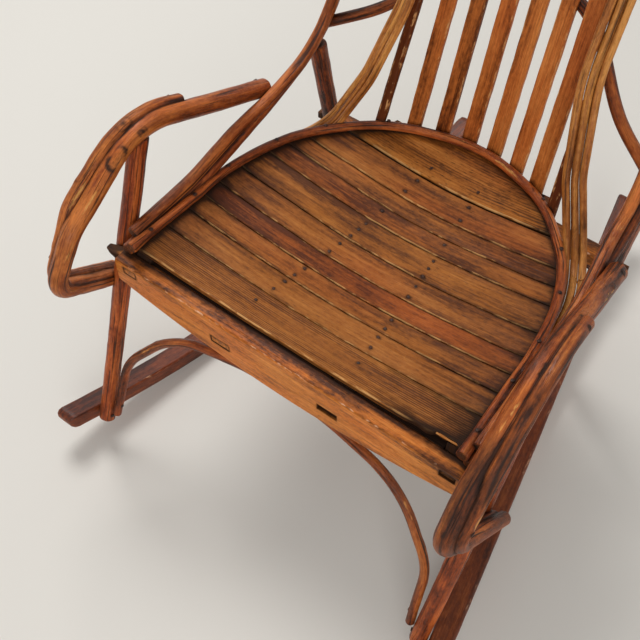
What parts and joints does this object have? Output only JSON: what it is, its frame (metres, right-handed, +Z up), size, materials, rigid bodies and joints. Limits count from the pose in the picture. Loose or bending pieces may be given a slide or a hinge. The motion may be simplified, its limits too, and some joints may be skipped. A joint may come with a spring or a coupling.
{
  "type": "rocking chair",
  "caption": "Bentwood rocking chair: paired bent rods form back hoops and arms, with a dished slat seat, slat back, bellied front rail and long curved rockers.",
  "frame": {"origin": "centre of the overall bounding box at floor level, z = 0 at the lowest line of the rockers", "axes": "+Z up, front of the chair towards -Y, +X to the right in a front-facing row view; the chair stands level on its rockers"},
  "size_m": [0.676, 0.88, 1.0204],
  "materials": {
    "bark_rod": "bark-brown bent hickory rod, worn and lightly varnished",
    "peeled_rod": "lighter bent rod, orange-brown with worn yellow patches",
    "slat_wood": "weathered sawn seat slats, open grain, satin",
    "back_slat_wood": "sawn back slats, orange-brown, satin",
    "rail_wood": "sawn rail and bearers, orange varnish worn at the edges",
    "rocker_wood": "dark red-brown sawn runners, worn below",
    "nail_iron": "dark rusted nail heads"
  },
  "bodies": {
    "root": {"arm_inner_left": "bark_rod", "arm_inner_right": "bark_rod", "arm_nails": "nail_iron", "arm_outer_left": "peeled_rod", "arm_outer_right": "peeled_rod", "back_bow": "bark_rod", "back_nails": "nail_iron", "back_slat_1_left": "back_slat_wood", "back_slat_1_right": "back_slat_wood", "back_slat_2_left": "back_slat_wood", "back_slat_2_right": "back_slat_wood", "back_slat_3_left": "back_slat_wood", "back_slat_3_right": "back_slat_wood", "back_slat_4_left": "back_slat_wood", "back_slat_4_right": "back_slat_wood", "frame_nails": "nail_iron", "front_arch": "bark_rod", "front_leg_left": "bark_rod", "front_leg_right": "bark_rod", "front_rail": "rail_wood", "hoop_nails": "nail_iron", "inner_bearer_left": "rail_wood", "inner_bearer_right": "rail_wood", "inner_hoop_inner": "peeled_rod", "inner_hoop_middle": "peeled_rod", "inner_hoop_outer": "peeled_rod", "outer_bearer_left": "rail_wood", "outer_bearer_right": "rail_wood", "outer_hoop_front": "bark_rod", "outer_hoop_rear": "bark_rod", "rear_leg_left": "bark_rod", "rear_leg_right": "bark_rod", "rear_rail": "rail_wood", "rocker_left": "rocker_wood", "rocker_right": "rocker_wood", "seat_hoop": "bark_rod", "seat_nails": "nail_iron", "seat_slat_01": "slat_wood", "seat_slat_02": "slat_wood", "seat_slat_03": "slat_wood", "seat_slat_04": "slat_wood", "seat_slat_05": "slat_wood", "seat_slat_06": "slat_wood", "seat_slat_07": "slat_wood", "seat_slat_08": "slat_wood", "seat_slat_09": "slat_wood", "seat_slat_10": "slat_wood", "stretcher_front": "bark_rod", "stretcher_rear": "bark_rod"}
  },
  "joints": []
}
